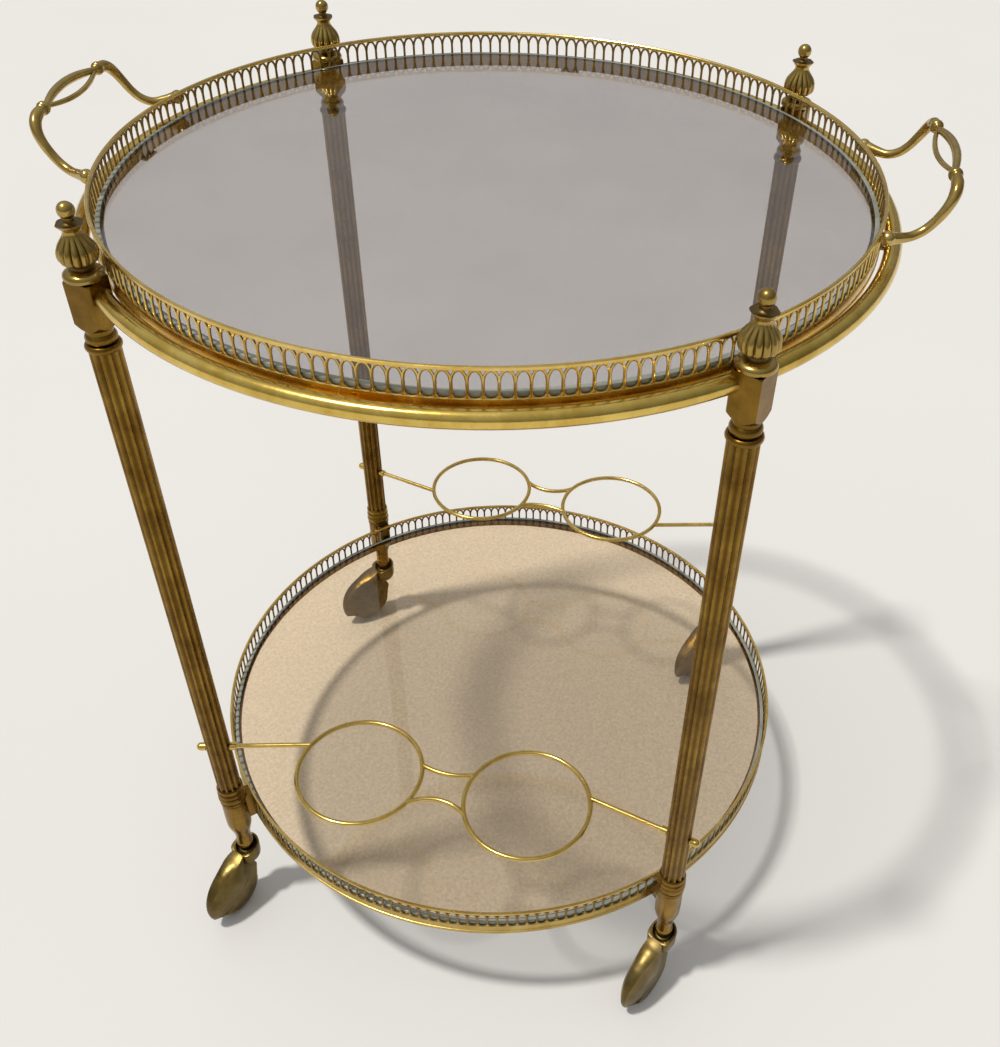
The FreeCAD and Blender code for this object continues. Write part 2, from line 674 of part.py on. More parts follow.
# Fixed lower shelf
shelf_holes = [shelf_hole(leg) for leg in LEGS]
nodes["shelf_gallery"] = gallery(shelf_radius, shelf_rim_z).cut(shelf_holes)
nodes["shelf_ledge"] = ledge(shelf_radius, shelf_rim_z).cut(shelf_holes)
nodes["shelf_glass"] = glass(shelf_radius, shelf_rim_z)
nodes["shelf_bosses"] = Part.makeCompound([shelf_boss(leg) for leg in LEGS])
nodes["shelf_screws"] = Part.makeCompound([shelf_screw(leg) for leg in LEGS])

# Bottle racks with their sleeves and knobs
nodes["rack_front"], nodes["rack_back"] = both_racks(rack())
sleeves = both_racks(rack_sleeve(-1)) + both_racks(rack_sleeve(1))
knobs = both_racks(rack_knob(-1)) + both_racks(rack_knob(1))
nodes["rack_sleeves"] = Part.makeCompound(sleeves)
nodes["rack_knobs"] = Part.makeCompound(knobs)

os.makedirs("parts", exist_ok=True)
for name, shape in nodes.items():
    shape.exportStep("parts/" + name + ".step")
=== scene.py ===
import bmesh
import bpy
import math
import numpy as np
from mathutils import Matrix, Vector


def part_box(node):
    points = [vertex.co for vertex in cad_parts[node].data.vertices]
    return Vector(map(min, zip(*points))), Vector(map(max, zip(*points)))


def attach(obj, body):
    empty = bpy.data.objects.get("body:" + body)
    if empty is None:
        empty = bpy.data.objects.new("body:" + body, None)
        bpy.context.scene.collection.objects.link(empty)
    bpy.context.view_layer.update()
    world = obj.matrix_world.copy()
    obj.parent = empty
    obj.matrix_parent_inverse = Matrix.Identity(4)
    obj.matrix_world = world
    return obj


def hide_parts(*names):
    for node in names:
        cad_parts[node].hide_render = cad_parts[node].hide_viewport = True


# Round brass bar cart: smooth brass, glass and rubber surfaces over the frame's solids.
# Shapes are worked out in millimetres in the frame of the solids and turned to metres in piece().

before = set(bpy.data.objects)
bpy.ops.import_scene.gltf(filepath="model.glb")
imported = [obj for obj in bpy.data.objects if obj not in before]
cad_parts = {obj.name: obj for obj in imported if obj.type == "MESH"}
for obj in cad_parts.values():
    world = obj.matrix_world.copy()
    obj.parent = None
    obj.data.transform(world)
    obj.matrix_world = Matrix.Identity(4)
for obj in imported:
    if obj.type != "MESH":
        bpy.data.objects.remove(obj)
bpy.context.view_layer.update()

MM = 0.001
TURN = 2 * math.pi
LEGS = ("front_left", "front_right", "back_left", "back_right")
SIDES = ("front", "right", "back", "left")
CASTER_HEADING = {"front_left": 250, "front_right": 244, "back_left": 228, "back_right": 236}
HANDLE_TURN = {"handle_right": 6.3, "handle_left": 183.5}


def low(node):
    """Lowest corner of a node in millimetres."""
    return np.array(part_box(node)[0]) / MM


def high(node):
    """Highest corner of a node in millimetres."""
    return np.array(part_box(node)[1]) / MM


def half_width(node):
    """Radius of a round node: half its width."""
    return (high(node)[0] - low(node)[0]) / 2


def leg_foot(leg):
    """Point on the floor under a leg's axis: the middle of the leg's box."""
    middle = (low("leg_" + leg) + high("leg_" + leg)) / 2
    return np.array([middle[0], middle[1], 0.0])


def smooth(x):
    """Ramp from 0 to 1 with level ends: 3x squared minus 2x cubed, held outside 0 to 1."""
    x = np.clip(x, 0, 1)
    return x * x * (3 - 2 * x)


# A surface is its points, its faces in groups of as many corners, and how much painted shade and tarnish
# each point gets


def quads(rows, columns, wrap_rows, wrap_columns):
    """Corner numbers of the quads of a grid of points, row after row; a wrapped way meets its start."""
    u = np.arange(rows if wrap_rows else rows - 1)[:, None]
    v = np.arange(columns if wrap_columns else columns - 1)[None, :]
    u2 = (u + 1) % rows
    v2 = (v + 1) % columns
    corners = [u * columns + v, u2 * columns + v, u2 * columns + v2, u * columns + v2]
    return np.stack(corners, -1).reshape(-1, 4)


def repeated(faces, copies, step):
    """Faces of one shape for many copies of it, the points of each copy a step after those of the last."""
    first = np.arange(copies)[:, None, None] * step
    return (faces + first).reshape(-1, faces.shape[1])


def sheet(points, wrap_rows=False, wrap_columns=False, shade_and_tarnish=0.0):
    """Surface over a grid of points; the last argument says how much painted shade and tarnish each point
    gets, from 0 to 1.
    """
    rows, columns = points.shape[:2]
    depth = np.broadcast_to(shade_and_tarnish, (rows, columns)).reshape(-1)
    return points.reshape(-1, 3), [quads(rows, columns, wrap_rows, wrap_columns)], depth


def lathe(profile, count, shade_and_tarnish=0.0, closed=False):
    """Turned surface: each (radius, height) of the profile carried round the Z axis. Radius 0 closes an end,
    and a closed profile meets its own start."""
    profile = np.asarray(profile, float)
    angle = np.linspace(0, TURN, count, endpoint=False)[:, None]
    height = np.broadcast_to(profile[:, 1], (count, len(profile)))
    points = np.stack([profile[:, 0] * np.cos(angle), profile[:, 0] * np.sin(angle), height], -1)
    return sheet(points, wrap_rows=True, wrap_columns=closed, shade_and_tarnish=shade_and_tarnish)


def hoop(section, count, shade_and_tarnish=0.0):
    """Closed (radius, height) section carried once round the Z axis."""
    return lathe(section, count, shade_and_tarnish, closed=True)


def circle(centre_r, centre_z, radius, count):
    """Round section: points at equal angles about a centre, in (radius, height), anticlockwise."""
    angle = np.linspace(0, TURN, count, endpoint=False)
    return np.stack([centre_r + radius * np.cos(angle), centre_z + radius * np.sin(angle)], -1)


def rounded(points, count):
    """Smooth path through points: a cubic between each two, whose end slopes follow the chord between the
    points on either side."""
    points = np.asarray(points, float)
    padded = np.concatenate([2 * points[:1] - points[1:2], points, 2 * points[-1:] - points[-2:-1]])
    place = np.linspace(0, len(points) - 1, count)
    span = np.minimum(place.astype(int), len(points) - 2)
    t = (place - span)[:, None]
    a, b, c, d = padded[span], padded[span + 1], padded[span + 2], padded[span + 3]
    by_square = 2 * a - 5 * b + 4 * c - d
    by_cube = 3 * b - a - 3 * c + d
    return 0.5 * (2 * b + (c - a) * t + by_square * t ** 2 + by_cube * t ** 3)


def tube(path, radius, sides, side_way, shade_and_tarnish=0.0):
    """Round bar with closed ends: circles of the given radii along a path, square to it, with their start
    set by side_way. A circle of radius 0 closes each end."""
    path = np.asarray(path, float)
    along = np.gradient(path, axis=0)
    along /= np.linalg.norm(along, axis=1, keepdims=True)
    across = np.cross(along, np.asarray(side_way, float))
    across /= np.linalg.norm(across, axis=1, keepdims=True)
    normal = np.cross(across, along)
    angle = np.linspace(0, TURN, sides, endpoint=False)[None, :, None]
    radius = np.broadcast_to(radius, len(path))[:, None, None]
    points = path[:, None] + radius * (across[:, None] * np.cos(angle) + normal[:, None] * np.sin(angle))
    ends = np.broadcast_to(path[[0, -1], None], (2, sides, 3))
    depth = np.broadcast_to(shade_and_tarnish, len(path))
    depth = np.concatenate([depth[:1], depth, depth[-1:]])[:, None]
    return sheet(np.concatenate([ends[:1], points, ends[1:]]), wrap_columns=True, shade_and_tarnish=depth)


def ball(centre, radius):
    """Ball: a half circle turned about Z and carried to its centre."""
    angle = np.linspace(-TURN / 4, TURN / 4, 17)
    profile = np.stack([radius * np.maximum(np.cos(angle), 0), radius * np.sin(angle)], -1)
    return moved(lathe(profile, 32), centre)


def moved(surface, place):
    """The surface carried by a vector."""
    points, faces, shade_and_tarnish = surface
    return points + np.asarray(place, float), faces, shade_and_tarnish


def spun(surface, degrees):
    """The surface turned about the Z axis: x and y mixed by the angle's cosine and sine."""
    points, faces, shade_and_tarnish = surface
    c, s = math.cos(math.radians(degrees)), math.sin(math.radians(degrees))
    return points @ np.array([[c, s, 0], [-s, c, 0], [0, 0, 1]]), faces, shade_and_tarnish


def piece(name, surfaces, body, material, nodes=(), crease=35.0):
    """One object from surfaces in millimetres, its doubles merged and its faces turned outwards. It rides on
    a body and stands for the nodes named. Edges sharper than the crease angle stay sharp."""
    points = np.concatenate([surface[0] for surface in surfaces]) * MM
    starts = np.cumsum([0] + [len(surface[0]) for surface in surfaces])
    faces = []
    for surface, start in zip(surfaces, starts):
        for group in surface[1]:
            faces += (group + start).tolist()
    mesh = bpy.data.meshes.new(name)
    mesh.from_pydata(points, [], faces)
    # Painted shade and tarnish for each point, read by the brass materials
    depth = mesh.attributes.new("shade_and_tarnish", "FLOAT", "POINT")
    depth.data.foreach_set("value", np.concatenate([surface[2] for surface in surfaces]))
    work = bmesh.new()
    work.from_mesh(mesh)
    bmesh.ops.remove_doubles(work, verts=work.verts, dist=1e-6)
    bmesh.ops.recalc_face_normals(work, faces=work.faces)
    work.to_mesh(mesh)
    work.free()
    mesh.polygons.foreach_set("use_smooth", np.ones(len(mesh.polygons), bool))
    mesh.set_sharp_from_angle(angle=math.radians(crease))
    mesh.materials.append(material)
    mesh.update()
    made = bpy.data.objects.new(name, mesh)
    bpy.context.scene.collection.objects.link(made)
    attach(made, body)
    if nodes:
        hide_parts(*nodes)


# Materials


def blank(name):
    """New material, its node tree and its main shader."""
    material = bpy.data.materials.new(name)
    material.use_nodes = True
    return material, material.node_tree, material.node_tree.nodes["Principled BSDF"]


def noise(tree, scale, detail, rough, stretch=(1, 1, 1)):
    """Noise over object coordinates, finer with scale, drawn out along an axis by stretch."""
    coords = tree.nodes.new("ShaderNodeTexCoord")
    mapping = tree.nodes.new("ShaderNodeMapping")
    mapping.inputs["Scale"].default_value = stretch
    texture = tree.nodes.new("ShaderNodeTexNoise")
    texture.inputs["Scale"].default_value = scale
    texture.inputs["Detail"].default_value = detail
    texture.inputs["Roughness"].default_value = rough
    tree.links.new(coords.outputs["Object"], mapping.inputs["Vector"])
    tree.links.new(mapping.outputs["Vector"], texture.inputs["Vector"])
    return texture.outputs["Fac"]


def ramp(tree, value, *stops):
    """Colour from a value: stops are (place, colour) pairs."""
    node = tree.nodes.new("ShaderNodeValToRGB")
    elements = node.color_ramp.elements
    while len(elements) < len(stops):
        elements.new(0.5)
    for element, (place, colour) in zip(elements, stops):
        element.position = place
        element.color = (*colour, 1)
    tree.links.new(value, node.inputs["Fac"])
    return node.outputs["Color"]


def spread(tree, value, span, onto):
    """Value moved from one span onto another, held at its ends."""
    node = tree.nodes.new("ShaderNodeMapRange")
    for name, number in zip(("From Min", "From Max", "To Min", "To Max"), (*span, *onto)):
        node.inputs[name].default_value = number
    tree.links.new(value, node.inputs["Value"])
    return node.outputs["Result"]


def mixed(tree, share, first, second):
    """Colour between two colours by a share; a colour is three numbers or another node's output."""
    node = tree.nodes.new("ShaderNodeMix")
    node.data_type = "RGBA"
    tree.links.new(share, node.inputs["Factor"])
    for socket, colour in ((node.inputs[6], first), (node.inputs[7], second)):
        if isinstance(colour, tuple):
            socket.default_value = (*colour, 1)
        else:
            tree.links.new(colour, socket)
    return node.outputs[2]


def sums(tree, first, second, how="ADD"):
    """Two values added, or joined by another sum, held between 0 and 1."""
    node = tree.nodes.new("ShaderNodeMath")
    node.operation = how
    node.use_clamp = True
    for socket, value in ((node.inputs[0], first), (node.inputs[1], second)):
        if isinstance(value, (int, float)):
            socket.default_value = value
        else:
            tree.links.new(value, socket)
    return node.outputs["Value"]


def shade_and_tarnish_attribute(tree):
    """How much painted shade and tarnish each point gets, kept on its points by piece()."""
    shade_and_tarnish = tree.nodes.new("ShaderNodeAttribute")
    shade_and_tarnish.attribute_name = "shade_and_tarnish"
    return shade_and_tarnish.outputs["Fac"]


def grained(tree, shader, height, strength, distance):
    """Fine relief on a shader from a height."""
    bump = tree.nodes.new("ShaderNodeBump")
    bump.inputs["Strength"].default_value = strength
    bump.inputs["Distance"].default_value = distance
    tree.links.new(height, bump.inputs["Height"])
    tree.links.new(bump.outputs["Normal"], shader.inputs["Normal"])


def aged_brass(name, bright, body, tarnish_and_shade, shine, worn, patches):
    """Brass: body colour clouded with bright rubbed places, brown tarnish in spots and broad drifts, and the
    same brown laid on by the points' attribute as tarnish and painted shade in grooves, hollows, inner skins
    and backs, with painted highlights where it leaves edges bright; rougher where it is darkened, with fine
    drawn-out scratches."""
    material, tree, shader = blank(name)
    clouds = ramp(tree, noise(tree, 42, detail=5, rough=0.62), (0.34, body), (0.68, bright))
    drifts = spread(tree, noise(tree, 11, detail=4, rough=0.55), (0.48, 0.72), (0, patches))
    spots = spread(tree, noise(tree, 210, detail=4, rough=0.6), (0.56, 0.78), (0, patches))
    # Painted shade with tarnish, from the points' attribute
    shade_and_tarnish_share = spread(tree, shade_and_tarnish_attribute(tree), (0.1, 1.0), (0, 0.85))
    dirt_and_shade = sums(tree, shade_and_tarnish_share, sums(tree, drifts, spots, "MAXIMUM"), "MAXIMUM")
    tree.links.new(mixed(tree, dirt_and_shade, clouds, tarnish_and_shade), shader.inputs["Base Color"])
    shader.inputs["Metallic"].default_value = 1.0
    rough = spread(tree, noise(tree, 90, detail=4, rough=0.6), (0.3, 0.75), (shine, worn))
    dulled = sums(tree, dirt_and_shade, 0.22, "MULTIPLY")
    tree.links.new(sums(tree, rough, dulled), shader.inputs["Roughness"])
    scratches = noise(tree, 700, detail=4, rough=0.65, stretch=(1, 1, 0.3))
    grained(tree, shader, scratches, strength=0.1, distance=0.0004)
    return material


def pane(name, tint, grain, cloud, bending, let_through):
    """Sheet glass: tinted through, clouded at the scale of grain, with a faint wiped film in the gloss.
    Light falls straight through it on what lies below, dimmed by let_through at each face."""
    material, tree, shader = blank(name)
    shader.inputs["Transmission Weight"].default_value = 1.0
    shader.inputs["IOR"].default_value = bending
    clouded = tuple((1 - cloud) * part for part in tint)
    colour = ramp(tree, noise(tree, grain, detail=4, rough=0.6), (0.38, clouded), (0.64, tint))
    tree.links.new(colour, shader.inputs["Base Color"])
    film = spread(tree, noise(tree, 24, detail=5, rough=0.65), (0.4, 0.8), (0.0, 0.03))
    tree.links.new(film, shader.inputs["Roughness"])
    clear = tree.nodes.new("ShaderNodeBsdfTransparent")
    clear.inputs["Color"].default_value = (let_through, let_through, let_through, 1)
    rays = tree.nodes.new("ShaderNodeLightPath")
    blend = tree.nodes.new("ShaderNodeMixShader")
    passing = sums(tree, rays.outputs["Is Shadow Ray"], rays.outputs["Is Diffuse Ray"], "MAXIMUM")
    tree.links.new(passing, blend.inputs["Fac"])
    tree.links.new(shader.outputs["BSDF"], blend.inputs[1])
    tree.links.new(clear.outputs["BSDF"], blend.inputs[2])
    tree.links.new(blend.outputs["Shader"], tree.nodes["Material Output"].inputs["Surface"])
    return material


def cut_edge(name):
    """Polished edge of sheet glass: grey-green, clouded along its length."""
    material, tree, shader = blank(name)
    clouds = noise(tree, 35, detail=4, rough=0.6)
    colour = ramp(tree, clouds, (0.35, (0.24, 0.255, 0.21)), (0.68, (0.40, 0.405, 0.345)))
    tree.links.new(colour, shader.inputs["Base Color"])
    gloss = spread(tree, noise(tree, 120, detail=3, rough=0.5), (0.3, 0.7), (0.18, 0.36))
    tree.links.new(gloss, shader.inputs["Roughness"])
    return material


def hard_rubber(name):
    """Wheel rubber: near black, greyed by dust in clouds, grained."""
    material, tree, shader = blank(name)
    dust = noise(tree, 120, detail=5, rough=0.65)
    colour = ramp(tree, dust, (0.35, (0.012, 0.011, 0.010)), (0.75, (0.05, 0.043, 0.036)))
    tree.links.new(colour, shader.inputs["Base Color"])
    gloss = spread(tree, noise(tree, 300, detail=3, rough=0.5), (0.3, 0.7), (0.4, 0.65))
    tree.links.new(gloss, shader.inputs["Roughness"])
    grained(tree, shader, noise(tree, 1600, detail=3, rough=0.6), strength=0.25, distance=0.0003)
    return material


def turned_steel(name):
    """Plain steel of axles, studs and screws: grey with fine turning marks."""
    material, tree, shader = blank(name)
    streaks = noise(tree, 260, detail=4, rough=0.6, stretch=(1, 1, 6))
    colour = ramp(tree, streaks, (0.3, (0.28, 0.27, 0.26)), (0.7, (0.5, 0.49, 0.47)))
    tree.links.new(colour, shader.inputs["Base Color"])
    shader.inputs["Metallic"].default_value = 1.0
    gloss = spread(tree, noise(tree, 500, detail=2, rough=0.5), (0.3, 0.7), (0.25, 0.45))
    tree.links.new(gloss, shader.inputs["Roughness"])
    marks = noise(tree, 900, detail=2, rough=0.5, stretch=(1, 1, 8))
    grained(tree, shader, marks, strength=0.1, distance=0.0002)
    return material


# Rubbed, body and tarnish-and-painted-shade colours, roughness where polished and where worn, and how strong
# the patches are
BRASS = {
    "gallery": ((0.85, 0.64, 0.23), (0.68, 0.45, 0.095), (0.13, 0.068, 0.014), 0.15, 0.32, 0.3),
    "handle": ((0.6, 0.44, 0.15), (0.4, 0.265, 0.068), (0.09, 0.052, 0.012), 0.15, 0.3, 0.3),
    "shelf": ((0.78, 0.58, 0.2), (0.58, 0.385, 0.085), (0.06, 0.03, 0.007), 0.15, 0.32, 0.3),
    "rail": ((0.8, 0.59, 0.16), (0.6, 0.395, 0.07), (0.15, 0.082, 0.012), 0.13, 0.27, 0.25),
    "leg": ((0.34, 0.2, 0.032), (0.17, 0.086, 0.011), (0.034, 0.016, 0.004), 0.18, 0.34, 0.35),
    "block": ((0.28, 0.16, 0.026), (0.16, 0.086, 0.013), (0.052, 0.029, 0.007), 0.2, 0.36, 0.35),
    "finial": ((0.52, 0.37, 0.11), (0.34, 0.225, 0.058), (0.065, 0.037, 0.011), 0.16, 0.32, 0.3),
    "hood": ((0.28, 0.205, 0.078), (0.135, 0.092, 0.022), (0.036, 0.023, 0.006), 0.25, 0.42, 0.4),
    "wire": ((0.78, 0.57, 0.19), (0.6, 0.41, 0.095), (0.15, 0.085, 0.015), 0.15, 0.3, 0.25),
}
brass = {name: aged_brass(name + "_brass", *finish) for name, finish in BRASS.items()}
upper_glass = pane("upper_glass", (0.545, 0.512, 0.507), grain=9, cloud=0.06, bending=1.75, let_through=0.94)
lower_glass = pane("lower_glass", (1.0, 0.815, 0.58), grain=330, cloud=0.2, bending=1.5, let_through=0.78)
glass_edge = cut_edge("glass_edge")
wheel_rubber = hard_rubber("wheel_rubber")
steel = turned_steel("steel")

node_materials = {
    "tray_gallery": brass["gallery"], "shelf_gallery": brass["shelf"], "shelf_bosses": brass["block"],
    "tray_ledge": brass["leg"], "shelf_ledge": brass["leg"], "tray_rests": brass["leg"],
    "handle_right": brass["handle"], "handle_left": brass["handle"],
    "rack_front": brass["wire"], "rack_back": brass["wire"],
    "rack_sleeves": brass["wire"], "rack_knobs": brass["wire"],
    "tray_glass": upper_glass, "shelf_glass": lower_glass, "shelf_screws": steel,
}
leg_materials = {
    "leg_": brass["leg"], "ferrule_": brass["leg"], "block_": brass["block"], "finial_": brass["finial"],
    "caster_hood_": brass["hood"], "caster_stem_": brass["hood"], "caster_wheel_": wheel_rubber,
    "caster_axle_": steel, "stud_": steel,
}
for side in SIDES:
    node_materials["rail_" + side] = brass["rail"]
for leg in LEGS:
    for part, material in leg_materials.items():
        node_materials[part + leg] = material
for name, material in node_materials.items():
    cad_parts[name].data.materials.clear()
    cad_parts[name].data.materials.append(material)


# Pierced galleries

OPENINGS = 200
STRIP_STEPS = 400
SILL_DROP = 21.2
FRAME_LIFT = 0.9


def opening_frames(radius, sill, tarnish_and_shade):
    """Frames of the gallery's openings. An opening has a rounded foot, upright sides and a round arch,
    mirrored about its middle. Each frame is a band outside it, domed, and wider round the arch."""
    half = np.array([[0, 0], [2.4, 0.5], [3.4, 2.6], [3.4, 10.6], [2.8, 13.9], [1.5, 16.1], [0, 16.9]])
    arch = np.concatenate([half, half[-2:0:-1] * [-1, 1]])
    along = np.roll(arch, -1, 0) - np.roll(arch, 1, 0)
    along /= np.linalg.norm(along, axis=1, keepdims=True)
    outward = np.stack([along[:, 1], -along[:, 0]], -1)
    side_width, wider, arch_start, arch_rise = 0.95, 0.75, 11, 4
    band = side_width + wider * smooth((arch[:, 1] - arch_start) / arch_rise)
    across = np.array([0.0, 0.55, 1.0, 1.0, 0.0])
    depth = radius + np.array([-0.4, 0.12, -0.1, -1.4, -1.3])
    # Painted shade: darkest on each frame's back and inner edge, less on its outer edge, least on its crest;
    # never lighter than the darkening asked for
    shade_and_tarnish = np.maximum([0.7, 0.15, 0.35, 0.9, 0.9], tarnish_and_shade)
    corners = arch[:, None] + outward[:, None] * band[:, None, None] * across[:, None]
    rows, columns = corners.shape[:2]
    pitch = np.arange(OPENINGS)[:, None, None] * TURN / OPENINGS
    way = pitch + corners[None, :, :, 0] / radius
    height = np.broadcast_to(sill + corners[:, :, 1], way.shape)
    points = np.stack([depth * np.cos(way), depth * np.sin(way), height], -1)
    faces = repeated(quads(rows, columns, True, True), OPENINGS, rows * columns)
    return points.reshape(-1, 3), [faces], np.broadcast_to(shade_and_tarnish, way.shape).reshape(-1)


def opening_webs(radius, sill):
    """Small prisms that fill the foot of each bar, between two rounded openings and the plain band: a
    triangle near the strip's face, and the same triangle behind it."""
    triangle = np.array([[-3.2, -0.8], [3.2, -0.8], [0.0, 3.6]])
    depth = np.array([radius - 0.25, radius - 1.25])[:, None]
    pitch = (np.arange(OPENINGS) + 0.5)[:, None, None] * TURN / OPENINGS
    way = pitch + triangle[:, 0] / radius
    height = np.broadcast_to(sill + triangle[:, 1], (OPENINGS, 2, 3))
    points = np.stack([depth * np.cos(way), depth * np.sin(way), height], -1)
    ends = np.array([[0, 1, 2], [5, 4, 3]])
    sides = np.array([[1, 0, 3, 4], [2, 1, 4, 5], [0, 2, 5, 3]])
    prism_points = 2 * len(triangle)
    faces = [repeated(ends, OPENINGS, prism_points), repeated(sides, OPENINGS, prism_points)]
    return points.reshape(-1, 3), faces, np.full(OPENINGS * prism_points, 0.15)


def gallery(node, tarnish_and_shade):
    """Gallery strip: a bead on top, the frames of its openings, a plain band with a fine bead along its
    foot. The frames get painted shade on their backs and inner edges, and are darkened, as tarnish and
    shade, at least as far as the last argument says; the band and its fine bead at least half as far, with
    painted shade in the band's back corners."""
    radius, top, foot = half_width(node), high(node)[2], low(node)[2]
    sill = top - SILL_DROP
    bead = np.array([[-1.6, -2.5], [0.2, -2.5], [0.65, -2.1], [0.8, -1.25], [0.65, -0.4], [0.2, 0],
                     [-1.3, 0], [-1.75, -0.4], [-1.9, -1.25], [-1.75, -2.1]])
    band = np.array([[-1.3, foot - sill], [0.5, foot - sill], [0.0, 0.5], [-0.3, 0.8], [-1.3, 0.8]])
    fine_bead = circle(0.1, foot - sill + 3.2, radius=0.9, count=8)
    shade = np.maximum([0.9, 0.0, 0.0, 0.3, 0.9], 0.5 * tarnish_and_shade)
    return [hoop(bead + [radius, top], STRIP_STEPS),
            hoop(band + [radius, sill], STRIP_STEPS, shade_and_tarnish=shade),
            hoop(fine_bead + [radius, sill], STRIP_STEPS, shade_and_tarnish=0.5 * tarnish_and_shade),
            opening_frames(radius, sill + FRAME_LIFT, tarnish_and_shade),
            opening_webs(radius, sill + FRAME_LIFT)]


tray_strip = gallery("tray_gallery", tarnish_and_shade=0.0)
shelf_strip = gallery("shelf_gallery", tarnish_and_shade=0.8)
piece("tray_gallery_strip", tray_strip, "tray", brass["gallery"], ["tray_gallery"])
piece("shelf_gallery_strip", shelf_strip, "frame", brass["shelf"], ["shelf_gallery"])


# Glass panes

PANE_STEPS = 256


def polished_pane(node):
    """Round pane with a pencil edge: flat faces, and a rim whose section is half an ellipse. It clears its
    ledge."""
    clearance, bulge, margin = 0.25, 0.9, 3.0
    bottom, top = low(node)[2] + clearance, high(node)[2]
    radius = half_width(node)
    arc = np.linspace(-TURN / 4, TURN / 4, 9)
    rim_z = (bottom + top) / 2 + (top - bottom) / 2 * np.sin(arc)
    rim = np.stack([radius - bulge + bulge * np.cos(arc), rim_z], -1)
    inner = radius - margin
    profile = np.concatenate([[[0, bottom], [inner * 0.6, bottom], [inner, bottom]], rim,
                              [[inner, top], [inner * 0.6, top], [0, top]]])
    return lathe(profile, PANE_STEPS)


def pane_edge(node):
    """Band round a pane's rim, where its ground edge shows: bowed outwards, with a slim margin on the upper
    face. Its section is drawn for a pane of one thickness and stretched to this pane's."""
    drawn_thickness = 4
    bottom, top = low(node)[2], high(node)[2]
    section = np.array([[-3.2, 4.1], [-1.0, 0.5], [0.0, 0.4], [0.3, 2.0], [0.1, 3.8], [-0.5, 4.1]])
    return hoop(section * [1, (top - bottom) / drawn_thickness] + [half_width(node), bottom], PANE_STEPS)


piece("tray_pane", [polished_pane("tray_glass")], "tray", upper_glass, ["tray_glass"],
      crease=25.0)
piece("shelf_pane", [polished_pane("shelf_glass")], "frame", lower_glass, ["shelf_glass"],
      crease=25.0)
piece("tray_pane_edge", [pane_edge("tray_glass")], "tray", glass_edge)
piece("shelf_pane_edge", [pane_edge("shelf_glass")], "frame", glass_edge)


# Finials

LOBES = 14
LOBE_STEPS = 14
LIP_WAVES = 6


def finial(foot):
    """Finial: a turned profile whose bulb is drawn in along the meridians between its lobes, deepest at its
    belly, and whose lip waves a little by a cosine."""
    z = np.array([0, 0, 0.5, 1.6, 3.0, 4.4, 5.6, 6.4, 6.9, 7.6, 9.0, 9.9, 10.4, 11.2, 12.4, 14.2, 16.4, 18.8,
                  21.0, 23.2, 25.2, 27.0, 28.6, 30.0, 31.2, 32.2, 33.2, 34.4, 35.4, 36.0, 36.4, 36.2, 36.6,
                  37.6, 39.2])
    r = np.array([0, 10.2, 11.6, 12.5, 12.7, 12.3, 11.0, 9.0, 7.6, 6.4, 5.9, 6.2, 7.4, 9.6, 11.2, 12.2, 12.6,
                  12.4, 11.7, 10.5, 9.0, 7.6, 6.5, 5.8, 5.5, 5.7, 6.4, 7.4, 8.1, 8.3, 8.0, 6.2, 4.4, 3.3,
                  3.2])
    ball_radius, tip, neck = 5.4, 49.4, 3.2
    arc = np.linspace(math.asin(neck / ball_radius) - TURN / 2, 0, 18)
    z = np.concatenate([z, tip - ball_radius + ball_radius * np.cos(arc)])
    r = np.concatenate([r, np.abs(ball_radius * np.sin(arc))])
    angle = np.linspace(0, TURN, LOBES * LOBE_STEPS, endpoint=False)[:, None]
    bulb_foot, bulb_top, lip_z = 9.6, 30.5, 35.8
    lobe_deep, lip_deep, lip_start = 0.13, 0.045, 0.8
    bulb = smooth((z - bulb_foot) / 3.0) * smooth((bulb_top - z) / 5.0)
    groove = 1 - np.abs(np.sin(LOBES / 2 * angle)) ** 0.7
    lip = np.exp(-((z - lip_z) / 1.5) ** 2) * (r > 6)
    wave = lip_deep * lip * np.cos(LIP_WAVES * angle + lip_start)
    radius = r * (1 - lobe_deep * bulb * groove) * (1 + wave)
    points = np.stack([radius * np.cos(angle), radius * np.sin(angle), np.broadcast_to(z, radius.shape)], -1)
    waists = (z > 6.5) & (z < 10.3) | (z > 36.1) & (z < 39.5)
    # Painted shade with tarnish in the grooves between the lobes, and darker still in the waists
    groove_and_waist_shade = np.maximum(0.75 * bulb * groove, np.where(waists, 0.9, 0.0))
    return moved(sheet(points, wrap_rows=True, shade_and_tarnish=groove_and_waist_shade), foot)


for leg in LEGS:
    foot = leg_foot(leg) + [0, 0, low("finial_" + leg)[2]]
    piece("finial_turned_" + leg, [finial(foot)], "frame", brass["finial"], ["finial_" + leg])


# Fluted legs and their ferrules

FLUTES = 12
FLUTE_STEPS = 16
FLUTE_HALF_ANGLE = math.radians(11.3)
FLUTE_DEPTH = 1.3
LEG_RADIUS = 10.5


def shaft(bottom, top):
    """Fluted column: the radius falls by a parabola across each flute and is full on the lands between."""
    angle = np.linspace(0, TURN, FLUTES * FLUTE_STEPS, endpoint=False)[:, None]
    pitch = TURN / FLUTES
    off = (angle + pitch / 2) % pitch - pitch / 2
    dip = np.clip(1 - (off / FLUTE_HALF_ANGLE) ** 2, 0, 1)
    z = np.array([bottom, *np.linspace(bottom, top, 9), top])[None, :]
    reach = np.array([0, *np.ones(9), 0])[None, :]
    radius = (LEG_RADIUS - FLUTE_DEPTH * dip) * reach
    points = np.stack([radius * np.cos(angle), radius * np.sin(angle), np.broadcast_to(z, radius.shape)], -1)
    # Flutes painted darker than the lands, as shade with tarnish
    return sheet(points, wrap_rows=True, shade_and_tarnish=np.broadcast_to(0.75 * dip, radius.shape))


